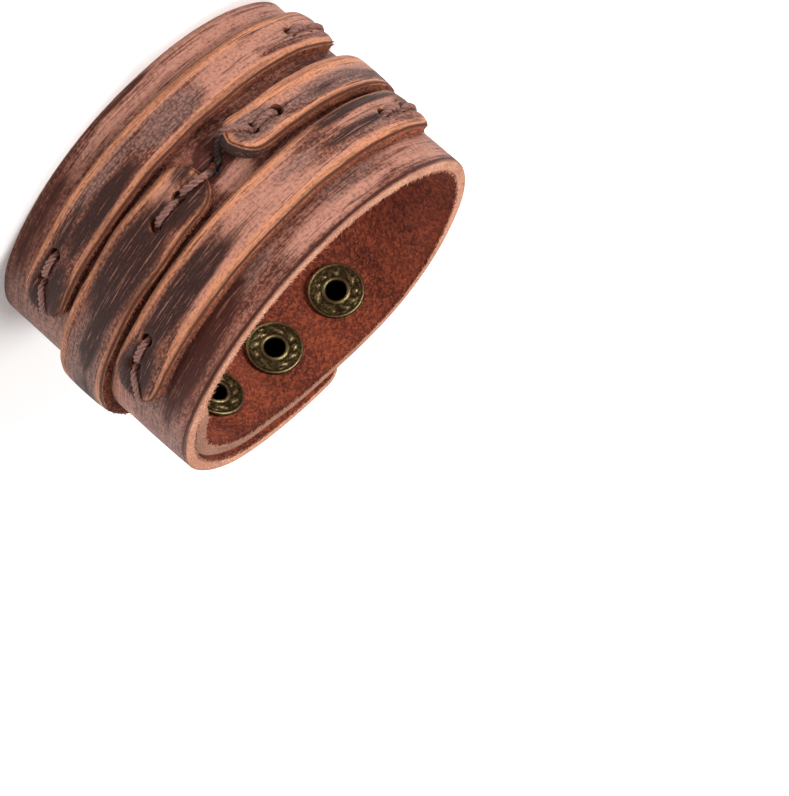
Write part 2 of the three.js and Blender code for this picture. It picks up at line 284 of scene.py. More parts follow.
HALF_BAND = BAND_THICKNESS / 2
all_along = np.linspace(INNER_END, FLAP_TIP, 800)
edges = np.concatenate([plan_of(all_along, np.full(800, h)) for h in (-HALF_BAND, HALF_BAND)])
band_low, band_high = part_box("base_band")
box_middle = [(band_low[k] + band_high[k]) / 2 / MM for k in (0, 1)]
SHIFT = np.array(box_middle) - (edges.min(0) + edges.max(0)) / 2
print("the loop's middle lies at", SHIFT.round(2), "mm in the frame")


# %% [markdown]
# Pull-up leather is full-grain cowhide soaked with oil and wax. Rubbing brings up a lighter tan at edges
# and along scratches, and the waxed top stays dark in patches. So its colour is painted in layers over a
# cloudy
# brown: each layer has a mask made of a listed patch or the distance from the edge, broken up
# by long streaks.
# Some patches stand for light instead: black spots paint the shade in the tie's hollow and in the groove of
# a climbing thread, and grey on the right bend paints its sheen.

# %% Pull-up leather
NOISES = {  # length along the strip, width across it, both in millimetres, and detail
    "cloud": (8.0, 3.5, 4),
    "streak": (30.0, 1.1, 5),
    "scratch": (6.5, 0.3, 5),  # wider than real scratches, so that they show
    "grain": (0.62, 0.5, 2),  # coarser than real grain, for the same reason
}
WEAR_AND_PAINTED_LIGHT_KINDS = ("black", "grey", "tan", "crease")
LAYERS = [  # shade, what makes its mask and how strongly, where the mask starts and is full, its most
    ("light", {"cloud": 1.0, "streak": 0.8}, 0.72, 1.08, 1.0),
    ("tan", {"tan": 1.0, "streak": 1.3, "scratch": 0.6, "cloud": 0.7}, 1.45, 2.0, 1.0),
    ("grey", {"grey": 1.0, "streak": 1.0, "scratch": 0.8, "cloud": 0.6}, 1.5, 1.9, 0.9),
    ("rub", {"rub": -1.0, "black": -0.5, "grey": -0.3, "tan": 0.25, "streak": 0.9, "scratch": 0.8,
             "cloud": 0.6}, 0.2, 0.8, 0.95),
    ("dust", {"grain": 1.0, "scratch": 0.4}, 0.6, 0.9, 0.34),
    ("pore", {"grain": -1.0, "scratch": -0.5}, -0.8, -0.5, 0.5),
    ("black", {"black": 1.0, "streak": 1.5, "scratch": 1.2, "cloud": 0.9, "grain": 0.25}, 2.25, 2.6, 0.95),
    ("deep", {"scratch": -1.0, "streak": -0.8}, -0.84, -0.7, 0.7),
    ("deep", {"rim": -0.22, "streak": 1.5, "scratch": 0.8}, 0.85, 1.1, 0.55),
    ("scratch", {"scratch": 1.0, "streak": 0.4, "grain": 0.15}, 0.84, 0.98, 0.6),
    ("crease", {"crease": 1.0, "line": -2.3, "streak": 0.9, "scratch": 0.9}, 1.15, 1.55, 0.9),
]


def pull_up_leather(name, shades, rub_width, crease_at, roughness):
    """Oiled and waxed grain side: cloudy brown, streaks along the strip, worn patches, rubbed edges; some
    black patches are painted shade and some grey ones painted sheen.
    """
    material, tree, out = new_material(name)
    sources = {
        word: add(tree, "Attribute", output="Fac", attribute_name=word)
        for word in (*WEAR_AND_PAINTED_LIGHT_KINDS, "rim")
    }
    sources["rub"] = add(tree, "Math", {0: sources["rim"], 1: rub_width}, operation="DIVIDE")
    beside = add(tree, "Math", {0: sources["rim"], 1: crease_at}, operation="SUBTRACT")
    sources["line"] = add(tree, "Math", {0: beside}, operation="ABSOLUTE")
    place = add(tree, "Attribute", output="Vector", attribute_name="tape")
    for word, (length, width, detail) in NOISES.items():
        scaled = add(tree, "VectorMath", {0: place, 1: (1 / length, 1 / width, 0.5)}, operation="MULTIPLY")
        cloudy = {"Vector": scaled, "Scale": 1.0, "Detail": detail, "Roughness": 0.62}
        sources[word] = add(tree, "TexNoise", cloudy)
    colour = linear(shades["dark"])
    for shade, recipe, start, full, most in LAYERS:
        total = 0.0
        for word, weight in recipe.items():
            total = add(tree, "Math", {0: sources[word], 1: weight, 2: total}, operation="MULTIPLY_ADD")
        limits = {"Value": total, "From Min": start, "From Max": full, "To Max": most}
        mask = add(tree, "MapRange", limits, interpolation_type="SMOOTHSTEP")
        colour = add(tree, "Mix", {0: mask, 6: colour, 7: linear(shades[shade])}, **COLOUR_MIX)
        sources[shade + " mask"] = mask
    height = 0.0
    for word, weight in (("grain", 0.4), ("scratch", 1.0), ("streak", 1.4), ("crease mask", -1.2)):
        height = add(tree, "Math", {0: sources[word], 1: weight, 2: height}, operation="MULTIPLY_ADD")
    relief = add(tree, "Bump", {"Strength": 0.8, "Distance": 0.3 * MM, "Height": height})
    gloss = add(tree, "MapRange", {
        "Value": sources["streak"], "From Min": 0.3, "From Max": 0.7,
        "To Min": roughness - 0.07, "To Max": roughness + 0.12,
    })
    surface = add(tree, "BsdfPrincipled", {
        "Base Color": colour, "Roughness": gloss, "Normal": relief, "IOR": 1.48, "Specular IOR Level": 0.18,
    })
    tree.links.new(surface, out.inputs["Surface"])
    return material


band_leather = pull_up_leather(
    "pull_up_leather_band",
    {"dark": "#4c2217", "light": "#7c4738", "tan": "#ad7866", "grey": "#6d4d44", "black": "#3a1309",
     "deep": "#451f12", "scratch": "#9c6a59", "crease": "#42190c", "dust": "#c08b78", "pore": "#35160e",
     "rub": "#cb9479"},
    rub_width=0.42,
    crease_at=0.72,
    roughness=0.52,
)
strap_leather = pull_up_leather(
    "pull_up_leather_strap",
    {"dark": "#431a0f", "light": "#743f2d", "tan": "#a97462", "grey": "#614742", "black": "#28110d",
     "deep": "#34170e", "scratch": "#9c6856", "crease": "#451c0f", "dust": "#c28a73", "pore": "#3b1c13",
     "rub": "#c8835d"},
    rub_width=2.2,
    crease_at=0.38,
    roughness=0.52,
)
print("leathers:", band_leather.name, strap_leather.name)

# %% [markdown]
# A cut edge shows the hide's fibres: short, felted and matt. The band's is pale, as it is freshly cut and
# clean. The straps' are darker and rust-brown, with a dark line of dressing under the grain. The flesh
# side is suede: the same fibres brushed into a nap, so it has no gloss and a soft sheen at its edge.
# All three are painted darker as shade where a patch of painted shade lies: along the top rim of the
# layer under the flap, in the tie hole, and at the curled tip.

# %% Cut edge and suede
def felted_fibre(name, dark, light, fleck, fibre_mm, relief_mm):
    """Matt felted fibres in two shades with flecks, painted darker as shade where a patch of painted shade
    lies: a cut edge, or a suede nap.
    """
    material, tree, out = new_material(name)
    place = add(tree, "Attribute", output="Vector", attribute_name="tape")
    masks = []
    for size, start, full, most in (
        (fibre_mm, 0.38, 0.62, 0.6), (fibre_mm * 12, 0.35, 0.68, 0.4), (fibre_mm * 0.55, 0.55, 0.72, 0.6),
    ):
        scaled = add(tree, "VectorMath", {0: place, "Scale": 1 / size}, operation="SCALE")
        speckle = add(tree, "TexNoise", {"Vector": scaled, "Scale": 1.0, "Detail": 4})
        limits = {"Value": speckle, "From Min": start, "From Max": full, "To Max": most}
        masks.append(add(tree, "MapRange", limits, interpolation_type="SMOOTHSTEP"))
    fine, broad, flecks = masks
    blend = add(tree, "Math", {0: fine, 1: broad}, operation="ADD")
    colour = add(tree, "Mix", {0: blend, 6: linear(dark), 7: linear(light)}, **COLOUR_MIX)
    colour = add(tree, "Mix", {0: flecks, 6: colour, 7: linear(fleck)}, **COLOUR_MIX)
    # painted shade: near-black mixed in where a patch of painted shade lies
    painted_shade = add(tree, "Attribute", output="Fac", attribute_name="painted_shade")
    colour = add(tree, "Mix", {0: painted_shade, 6: colour, 7: linear("#200c07")}, **COLOUR_MIX)
    nap = add(tree, "Bump", {"Strength": 0.9, "Distance": relief_mm * MM, "Height": fine})
    surface = add(tree, "BsdfPrincipled", {"Base Color": colour, "Roughness": 0.92, "Normal": nap})
    tree.links.new(surface, out.inputs["Surface"])
    return material


pale_edge = felted_fibre("cut_edge_band", "#9a5f47", "#cd967a", "#eabfa2", 0.5, 0.35)
rust_edge = felted_fibre("cut_edge_strap", "#3f1609", "#8f4a2c", "#c57449", 0.7, 0.4)
suede = felted_fibre("suede_flesh_side", "#581d0c", "#a0482a", "#c0714f", 0.7, 0.35)
print("fibres:", pale_edge.name, rust_edge.name, suede.name)

# %% [markdown]
# Each strip starts as a flat blank: a four-cornered plan with its corners rounded, extruded to the hide's
# thickness, its edges bevelled, and then cut across and lengthwise so that it can bend. The thread and
# snap holes are punched while it is flat, as on the real one. Then every vertex is moved to its place on
# the loop.

# %% A flat leather blank
EDGE_SEGMENTS = 3
CORNER_SEGMENTS = 10


def leather_blank(span, heights, faces, corners, edges, rows, step):
    """A flat strip with rounded corners and bevelled edges, cross-cut for bending, in millimetres."""
    (start, end), (low, high), (inner, outer) = span, heights, faces
    bm = bmesh.new()
    plan = [bm.verts.new((s, z, inner)) for s, z in ((start, low), (end, low), (end, high), (start, high))]
    bm.faces.new(plan)
    for radius, pair in zip(corners, ((plan[0], plan[3]), (plan[1], plan[2]))):
        bmesh.ops.bevel(
            bm, geom=list(pair), offset=radius, offset_type="OFFSET", affect="VERTICES",
            segments=CORNER_SEGMENTS, profile=0.5, material=-1,
        )
    made = bmesh.ops.extrude_face_region(bm, geom=bm.faces[:])["geom"]
    raised = [v for v in made if isinstance(v, bmesh.types.BMVert)]
    bmesh.ops.translate(bm, verts=raised, vec=(0, 0, outer - inner))
    bmesh.ops.recalc_face_normals(bm, faces=bm.faces[:])
    for level_h, width in zip((inner, outer), edges):
        rim = [e for e in bm.edges if all(abs(v.co.z - level_h) < 1e-4 for v in e.verts)]
        bmesh.ops.bevel(
            bm, geom=rim, offset=width, offset_type="OFFSET", affect="EDGES",
            segments=EDGE_SEGMENTS, profile=0.5, material=-1,
        )
    columns = np.linspace(start, end, max(2, round((end - start) / step)) + 1)[1:-1]
    cuts = [((0, z, 0), (0, 1, 0)) for z in rows] + [((s, 0, 0), (1, 0, 0)) for s in columns]
    for point, normal in cuts:
        everything = bm.verts[:] + bm.edges[:] + bm.faces[:]
        bmesh.ops.bisect_plane(bm, geom=everything, plane_co=point, plane_no=normal, dist=1e-5)
    return bm


def punch(bm, name, holes):
    """Punches round holes of (s, z, radius) through a flat blank and returns its object."""
    blank = show(name, mesh_from(bm, name))
    if holes:
        tools = bmesh.new()
        for s, z, radius in holes:
            bmesh.ops.create_cone(
                tools, cap_ends=True, segments=24, radius1=radius, radius2=radius, depth=30,
                matrix=Matrix.Translation((s, z, 0)),
            )
        tool = show(name + "_punch", mesh_from(tools, name + "_punch"))
        cut = blank.modifiers.new("punch", "BOOLEAN")
        cut.operation, cut.object, cut.solver = "DIFFERENCE", tool, "EXACT"
        evaluated = blank.evaluated_get(bpy.context.evaluated_depsgraph_get())
        punched = bpy.data.meshes.new_from_object(evaluated)
        blank.modifiers.clear()
        blank.data = punched
        bpy.data.objects.remove(tool)
    return blank


# %% Bending, wear and finishing of a strip
RING_RADIUS, RING_WIDTH, RING_HEIGHT = 1.9, 0.5, 0.22  # the leather stands up round a stitched hole
DIMPLE_WIDTH, DIMPLE_DEPTH = 1.3, 0.5  # and sinks at its brink
HALO_REACH, HALO_STRENGTH = 1.3, 0.9  # and is rubbed light
GROOVE_WIDTH = 1.1  # where a tight thread pulls the leather in
CROWN_WIDTH = 1.1  # how far in from its rim a strap is rounded
HIDE_WAVES = ((14, 9, 0.16, 0), (3.5, 2.5, 0.05, 7))  # length, width and swing in millimetres, noise layer
WAVER_LENGTH = 9  # along a cut side that isn't quite straight
# how dark the painted shade on cut edges and suede gets at most
PAINTED_SHADE_MOST = 0.92
PATCH_SPREAD = 1.6  # a soft oval ends at this many times its size
GRAIN_DEPTH, FLESH_DEPTH = 0.45, 0.2  # faces this near to a side are coloured as that side


def read_places(mesh):
    """The vertices' places as rows of three."""
    flat = np.empty(len(mesh.vertices) * 3)
    mesh.vertices.foreach_get("co", flat)
    return flat.reshape(-1, 3)


def store(mesh, name, kind, values):
    """Keeps one value or place for each vertex, for the materials to read."""
    field = "vector" if kind == "FLOAT_VECTOR" else "value"
    mesh.attributes.new(name, kind, "POINT").data.foreach_set(field, np.ascontiguousarray(values).ravel())


def rim_distance(flat, span, heights, corners):
    """How far each vertex lies inside the strip's outline."""
    (start, end), (low, high) = span, heights
    radius = np.where(flat[:, 0] < (start + end) / 2, *corners)
    q_s = np.abs(flat[:, 0] - (start + end) / 2) - ((end - start) / 2 - radius)
    q_z = np.abs(flat[:, 1] - (low + high) / 2) - ((high - low) / 2 - radius)
    outside = np.hypot(np.maximum(q_s, 0), np.maximum(q_z, 0))
    return np.maximum(radius - outside - np.minimum(np.maximum(q_s, q_z), 0), 0)


def soft_patches(flat, patches):
    """The strongest soft oval at each vertex, of (s, z, half length, half height, strength)."""
    total = np.zeros(len(flat))
    for s, z, half_s, half_z, strength in patches:
        reach = np.hypot((flat[:, 0] - s) / half_s, (flat[:, 1] - z) / half_z)
        total = np.maximum(total, strength * np.clip(PATCH_SPREAD - reach, 0, 1))
    return total


def uneven(flat, seed):
    """The slight waviness of thick hide, in millimetres."""
    total = np.zeros(len(flat))
    for length, width, swing, layer in HIDE_WAVES:
        total += swing * np.array([noise.noise((s / length, z / width, seed + layer)) for s, z, _ in flat])
    return total


def seam_reach(flat, start, end):
    """How far each vertex lies from a straight seam, seen on the flat strip."""
    start, along = np.array(start), np.subtract(end, start)
    share = np.clip((flat[:, :2] - start) @ along / (along @ along), 0, 1)
    return np.linalg.norm(flat[:, :2] - start - share[:, None] * along, axis=1)


def finish_strip(blank, node, span, heights, faces, corners, holes, wear_and_painted_light, materials, seed, bend):
    """Gives a punched blank its attributes of worn colour and painted shade, bends it into place, and hands
    it to the frame.
    """
    mesh = blank.data
    flat = read_places(mesh)
    inner, outer = faces
    store(mesh, "tape", "FLOAT_VECTOR", flat)
    rim = rim_distance(flat, span, heights, corners)
    stitched = [hole for hole in holes if hole[2] == HOLE_RADIUS]
    halo = [(s, z, HALO_REACH, HALO_REACH, HALO_STRENGTH) for s, z, _ in stitched]
    store(mesh, "rim", "FLOAT", rim)
    # most black patches are dark wax, but some are painted shade: the tie's hollow and the grooves of
    # climbing threads
    store(mesh, "black", "FLOAT", soft_patches(flat, wear_and_painted_light.get("black", [])))
    store(mesh, "grey", "FLOAT", soft_patches(flat, wear_and_painted_light.get("grey", [])))
    store(mesh, "tan", "FLOAT", soft_patches(flat, wear_and_painted_light.get("tan", []) + halo))
    # painted shade, read only by the cut edge and suede materials
    painted_shade = np.minimum(soft_patches(flat, wear_and_painted_light.get("painted_shade", [])), 1)
    store(mesh, "painted_shade", "FLOAT", PAINTED_SHADE_MOST * painted_shade)
    upper = np.clip((flat[:, 1] - heights[0]) / (heights[1] - heights[0]), 0, 1)
    store(mesh, "crease", "FLOAT", wear_and_painted_light["crease"] * (0.4 + 0.6 * upper))
    skin = (flat[:, 2] - inner) / (outer - inner)
    moved = flat.copy()
    moved[:, 2] += uneven(flat, seed) * np.clip(skin, 0.2, 1)
    waver = np.array([noise.noise((s / WAVER_LENGTH, seed + 3, 0)) for s in flat[:, 0]])
    moved[:, 1] += wear_and_painted_light.get("waver", 0) * waver * (2 * upper - 1)
    moved[:, 2] -= wear_and_painted_light.get("crown", 0) * skin * np.exp(-rim / CROWN_WIDTH)
    for s, z, _ in holes:
        reach = np.hypot(flat[:, 0] - s, flat[:, 1] - z)
        ring = RING_HEIGHT * np.exp(-(((reach - RING_RADIUS) / RING_WIDTH) ** 2))
        dimple = DIMPLE_DEPTH * np.exp(-((reach / DIMPLE_WIDTH) ** 2))
        moved[:, 2] += skin * (ring - dimple)
    for start, end, depth in wear_and_painted_light.get("pulled", []):
        moved[:, 2] -= depth * skin * np.exp(-((seam_reach(flat, start, end) / GROOVE_WIDTH) ** 2))
    plan, rise = bend(moved)
    placed = np.column_stack([(plan + SHIFT) * MM, rise * MM])
    mesh.vertices.foreach_set("co", placed.ravel())
    mesh.materials.clear()
    for material in materials:
        mesh.materials.append(material)
    grain, edge, flesh = range(3)
    for face in mesh.polygons:
        where = flat[list(face.vertices)]
        middle_h = where[:, 2].mean()
        flat_normal = np.cross(where[1] - where[0], where[2] - where[0])
        flat_normal /= np.linalg.norm(flat_normal) + 1e-12
        if middle_h > outer - GRAIN_DEPTH and flat_normal[2] > 0.3:
            face.material_index = grain
        elif middle_h < inner + FLESH_DEPTH and flat_normal[2] < -0.3:
            face.material_index = flesh
        else:
            face.material_index = edge
    mesh.polygons.foreach_set("use_smooth", [True] * len(mesh.polygons))
    mesh.update()
    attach(blank, "root")
    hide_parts(node)
    return blank


# %% [markdown]
# The straps lie on the band's grain side, one row near each rim and one in the middle, which is in two
# pieces. Their heights stack up from the middle row with a narrow gap, as in the part's source. The
# stitch holes of the upper and lower straps drop a little at the right end, and the thread climbs from
# there to the upper corner.

# %% Where the straps lie
STRAP_THICKNESS = 2.55
STRAP_CORNER = 0.95
HOLE_RADIUS = 1.2
STRAP_FACES = (HALF_BAND + 0.05, HALF_BAND + 0.05 + STRAP_THICKNESS)
STRAP_CENTRE = sum(STRAP_FACES) / 2
MIDDLE_Z = 0.476 * BAND_WIDTH
STRAP_GAP = 1.1
TIP_LIFT, TIP_LIFT_LENGTH = 3.4, 8.2
STITCH_PITCH, STITCH_DROP, STITCH_BEYOND = 5.6, 1.4, 2.9

upper_half, right_half, lower_half, left_half = 5.0, 5.35, 4.6, 4.2
STRAPS = {
    "upper_strap": {
        "turns": (0.517, 0.92), "z": MIDDLE_Z + right_half + STRAP_GAP + upper_half, "half": upper_half,
        "stitched": 6.4, "drop": STITCH_DROP, "climb": 3.4,
    },
    "middle_strap_left": {
        "turns": (0.352, 0.706), "z": MIDDLE_Z + 0.08 * 2 * left_half, "half": left_half,
        "stitched": 5.3, "drop": 0.0, "climb": 0.0,
    },
    "middle_strap_right": {
        "turns": (0.732, 1.127), "z": MIDDLE_Z, "half": right_half,
        "stitched": 5.3, "drop": 0.0, "climb": 0.0,
    },
    "lower_strap": {
        "turns": (0.517, 0.918), "z": MIDDLE_Z - right_half - STRAP_GAP - lower_half, "half": lower_half,
        "stitched": 6.4, "drop": STITCH_DROP, "climb": 2.4,
    },
}
TIE_HOLE = ((0.706 + 0.732) / 2 * LOOP_LENGTH, MIDDLE_Z)
TIE_HOLE_RADIUS = 1.5
for name, strap in STRAPS.items():
    start, end = strap["span"] = tuple(turn * LOOP_LENGTH for turn in strap["turns"])
    strap["holes"] = []
    for reach in (strap["stitched"], strap["stitched"] + STITCH_PITCH):
        strap["holes"] += [(start + reach, strap["z"]), (end - reach, strap["z"] - strap["drop"])]
    print(name, "from", round(start, 1), "to", round(end, 1), "at height", round(strap["z"], 1))


# %% The straps' wear, painted shade and painted sheen
WEAR_AND_PAINTED_LIGHT = {  # soft ovals: place along and up, half length and half height, all in millimetres, and strength
    "upper_strap": {
        "black": [(166, 33.2, 11, 1.5, 1.0), (166, 31.0, 9, 0.9, 0.95), (174, 32.2, 6, 2.0, 0.8),
                  (126, 33.2, 8, 0.9, 0.85), (122, 29.2, 12, 0.8, 0.9), (184, 32.3, 6, 3.4, 0.86)],
        "grey": [(123, 33.5, 9, 1.6, 0.7), (140, 32.5, 6, 2, 0.5), (184, 31.5, 4, 2, 0.7)],
        "tan": [(145, 36.2, 24, 1.2, 1.0), (147, 32.4, 9, 3, 0.8), (120, 31.2, 10, 0.9, 0.8),
                (148, 28.9, 12, 0.9, 0.8)],
    },
    "middle_strap_left": {
        # painted shade: the curled tip's end face and underside are darkened
        "painted_shade": [(145, 22.5, 4, 4.5, 1.6)],
        "black": [(110, 23.6, 8, 1.0, 0.6), (96, 23.6, 10, 1.6, 0.8), (125, 23.4, 6, 0.9, 0.5)],
        "grey": [(122, 23.0, 14, 1.6, 0.85), (140, 21.5, 5, 3, 0.95)],
        "tan": [(120, 19.8, 18, 2.0, 2.4), (124, 25.7, 18, 0.8, 1.0), (140, 25, 6, 1.2, 0.8)],
    },
    "middle_strap_right": {
        "black": [(170, 21.5, 11, 3.6, 1.05), (156, 23.4, 5, 2.2, 0.9), (153, 18.8, 2.5, 1.6, 0.6),
                  (184, 22.5, 9, 2.0, 0.8), (208, 22.5, 14, 3, 0.7)],
        # the grey on the right bend is painted sheen
        "grey": [(190, 22, 14, 3.5, 0.8)],
        "tan": [(156, 18.4, 4, 1.4, 0.5), (200, 26, 14, 1, 0.8)],
    },
    "lower_strap": {
        "black": [(166, 11.6, 10, 1.7, 0.95), (184, 10.5, 7, 3.2, 0.92), (175, 8.6, 8, 1.2, 0.75),
                  (123, 11.6, 6, 0.9, 0.3)],
        "grey": [(148, 10.4, 7, 2.4, 0.9), (121, 11, 8, 2.0, 0.4), (162, 8.4, 10, 1.4, 0.8)],
        "tan": [(135, 11, 6, 3.2, 0.9), (118, 9.5, 9, 2.0, 1.2), (140, 14, 30, 0.8, 0.9),
                (146, 6.9, 26, 0.8, 0.9)],
    },
}


def lifted_tip(q):
    """How far the left middle strap's tip curls off the band."""
    near = np.clip(1 - (STRAPS["middle_strap_left"]["span"][1] - q) / TIP_LIFT_LENGTH, 0, None)
    return TIP_LIFT * near**2


def strap_bend(name):
    """The way that this strap, and what stands on it, is bent into place."""
    lift = lifted_tip if name == "middle_strap_left" else None
    return lambda p: (plan_of(p[:, 0], p[:, 2], lift, STRAP_CENTRE), p[:, 1])


# %% The straps
SEAM_DEPTH, CLIMB_DEPTH = 0.45, 0.2 / 3  # grooves under the thread, and deeper by this per mm of climb
# spots of painted shadow in the groove along the climb
SEAM_SHADOW = (0.8, 0.6, 1.9)  # half length, half height and strength of each dark spot along the climb
for seed, (name, strap) in enumerate(STRAPS.items()):
    low, high = strap["z"] - strap["half"], strap["z"] + strap["half"]
    corner = STRAP_CORNER * strap["half"]
    rows = [low + (high - low) * k / 12 for k in range(1, 12)]
    bm = leather_blank(
        strap["span"], (low, high), STRAP_FACES, (corner, corner), (0.2, 0.55), rows, 0.8
    )
    holes = [(s, z, HOLE_RADIUS) for s, z in strap["holes"]]
    blank = punch(bm, name + "_leather", holes)
    (start, end), far_hole = strap["span"], strap["stitched"] + STITCH_PITCH
    row_z = strap["z"] - strap["drop"]
    turning = (end - strap["stitched"], row_z)
    notch = (end, row_z + strap["climb"])
    pulled = [
        ((start + far_hole, strap["z"]), (start, strap["z"]), SEAM_DEPTH),
        ((end - far_hole, row_z), turning, SEAM_DEPTH),
        (turning, notch, SEAM_DEPTH + CLIMB_DEPTH * strap["climb"]),
    ]
    # painted shadow: a row of black spots along the groove where the thread climbs
    seam_shadow = [(*np.add(turning, np.subtract(notch, turning) * k), *SEAM_SHADOW) for k in np.linspace(0.1, 1, 9)]
    wear_and_painted_light = {**WEAR_AND_PAINTED_LIGHT[name], "black": WEAR_AND_PAINTED_LIGHT[name]["black"] + (seam_shadow if strap["climb"] else [])}
    finish_strip(
        blank, name, strap["span"], (low, high), STRAP_FACES, (corner, corner), holes,
        {"crease": 1.0, "crown": 0.4, "waver": 0.35, "pulled": pulled, **wear_and_painted_light},
        (strap_leather, rust_edge, suede), seed, strap_bend(name),
    )
    print(name, "faces:", len(blank.data.polygons))

# %% [markdown]
# The band is one long strip, flesh side in. The snaps press it flat where they are set, so near each snap
# the leather follows a flat plane instead of the curve. A dark crease runs just under its rims on the
# grain side, and the tie pulls it into a hollow between the two middle tips, which is painted dark as
# shade. The top rim of the layer under the flap is painted darker as shade too.

# %% The base band
SNAP_ROWS = {"lower": 10.0, "upper": 35.0}
PRESS_RADIUS, PRESS_FADE = 5.6, 4.0
SNAP_HOLE = 2.7
STITCHED_ENDS = (  # strap, and 0 for its left end or 1 for its right end
    ("upper_strap", 0), ("upper_strap", 1), ("lower_strap", 0), ("lower_strap", 1),
    ("middle_strap_left", 0), ("middle_strap_right", 1),
)


def tape_along(s, distance):
    """The place a taped distance further along the band itself."""
    step = math.copysign(0.1, distance)
    here, taped = s, 0.0
    while taped < abs(distance):
        taped += float(np.linalg.norm(band_middle(here + step) - band_middle(here)))
        here += step
    return here


SNAP_PLACES = {
    "open": tape_along(CLOSED_SNAP, SNAP_PITCH),
    "closed": CLOSED_SNAP,
    "covered": tape_along(CLOSED_SNAP, -SNAP_PITCH),
}
FLAP_SNAP = CLOSED_SNAP + LOOP_LENGTH


def bend_band(p):
    """Bends the band round the wrist, but keeps it flat where a snap grips it."""
    plan = plan_of(p[:, 0], p[:, 2])
    for s0 in [*SNAP_PLACES.values(), FLAP_SNAP]:
        out0 = outward(band_middle, np.array(s0), REACH)
        along0 = np.array([-out0[1], out0[0]])
        level_plan = band_middle(s0) + (p[:, :1] - s0) * along0 + p[:, 2:] * out0
        for z0 in SNAP_ROWS.values():
            reach = np.hypot(p[:, 0] - s0, p[:, 1] - z0)
            hold = np.clip((PRESS_RADIUS + PRESS_FADE - reach) / PRESS_FADE, 0, 1)
            hold = (hold**2 * (3 - 2 * hold))[:, None]
            plan = plan * (1 - hold) + level_plan * hold
    return plan, p[:, 1]


band_span, band_heights, band_faces = (INNER_END, FLAP_TIP), (0.0, BAND_WIDTH), (-HALF_BAND, HALF_BAND)
band_corners = (4.0, 6.5)
band_rows = [0.5, 0.8, 1.1, 1.5, 2.2, 3.2, *np.linspace(4.6, 40.4, 21), 41.8, 42.8, 43.5, 43.9, 44.2, 44.5]
band_holes = [(s, z, HOLE_RADIUS) for strap in STRAPS.values() for s, z in strap["holes"]]
for name, side in STITCHED_ENDS:
    strap = STRAPS[name]
    beyond = STITCH_BEYOND if side else -STITCH_BEYOND
    band_holes.append((strap["span"][side] + beyond, strap["z"] - side * strap["drop"], HOLE_RADIUS))
band_holes.append((*TIE_HOLE, TIE_HOLE_RADIUS))
snap_holes = [(s, z, SNAP_HOLE) for s in [*SNAP_PLACES.values(), FLAP_SNAP] for z in SNAP_ROWS.values()]
bm = leather_blank(band_span, band_heights, band_faces, band_corners, (0.25, 0.4), band_rows, 1.0)
band = punch(bm, "base_band_leather", band_holes + snap_holes)
band_wear_and_painted_light = {
    "crease": 1.0,
    "pulled": [((145.6, 19.8), (149.3, 21.8), 1.4)],
    # painted shade: along the top rim of the layer under the flap, and in the tie hole
    "painted_shade": [(8, 45.5, 40, 1.4, 0.5), (*TIE_HOLE, 2.2, 2.2, 2.0)],
    # the first two black patches are painted shade in the tie's hollow; the rest are dark wax
    "black": [(147.0, 20.3, 3.2, 2.4, 2.5), (149.5, 21.3, 2.0, 1.6, 2.0), (176, 40.0, 13, 2.2, 1.1),
              (166, 38.6, 8, 0.8, 0.8), (176, 2.2, 14, 2.0, 0.55), (150, 0.8, 8, 0.5, 0.8),
              (72, 38, 12, 3, 0.8), (235, 5, 14, 3, 0.8), (228, 22, 9, 4, 0.65)],
    # the grey patches at 196 lie on the right bend and are painted sheen
    "grey": [(160, 39.2, 9, 1.6, 0.7), (196, 8, 9, 12, 0.9), (196, 38, 8, 6, 0.9),
             (134, 39.5, 9, 1.2, 0.8)],
    "tan": [(116, 41, 10, 3, 0.7), (140, 42, 12, 1.6, 0.9), (124, 2.4, 18, 3.2, 1.7),
            (150, 3, 14, 2.4, 0.8), (147, 24.5, 3, 4, 0.9), (200, 24, 10, 20, 0.5),
            (90, 36, 18, 5, 0.7), (66, 8, 16, 4, 0.7), (248, 30, 6, 12, 0.8), (225, 41, 12, 2.5, 0.8)],
}
finish_strip(
    band, "base_band", band_span, band_heights, band_faces, band_corners, band_holes,
    band_wear_and_painted_light, (band_leather, pale_edge, suede), 11, bend_band,
)
print("band faces:", len(band.data.polygons))

# %% [markdown]
# The snaps are pressed from thin brass sheet and dipped in a bath that turns them nearly black. A tumble
# in grit then rubs the dark coat off the raised places. So one attribute, how far a spot stands up,
# drives the colour. Inside the deep hole the attribute is below zero, and there the colour is painted
# near-black as shade.

# %% Antique brass
material, tree, out = new_material("antique_brass")
raised = add(tree, "Attribute", output="Fac", attribute_name="raised")
here = add(tree, "TexCoord", output="Object")
coat = add(tree, "TexNoise", {"Vector": here, "Scale": 1 / (0.5 * MM), "Detail": 5.0})
stain = add(tree, "TexNoise", {"Vector": here, "Scale": 1 / (2.2 * MM), "Detail": 3.0})
worn = add(tree, "Math", {0: coat, 1: 1.1, 2: raised}, operation="MULTIPLY_ADD")
bare = add(tree, "MapRange", {"Value": worn, "From Min": 0.75, "From Max": 1.5})
olive = add(tree, "MapRange", {"Value": stain, "From Min": 0.4, "From Max": 0.62})
brown = add(tree, "Mix", {0: olive, 6: linear("#3f2817"), 7: linear("#463e22")}, **COLOUR_MIX)
colour = add(tree, "Mix", {0: bare, 6: brown, 7: linear("#968660")}, **COLOUR_MIX)
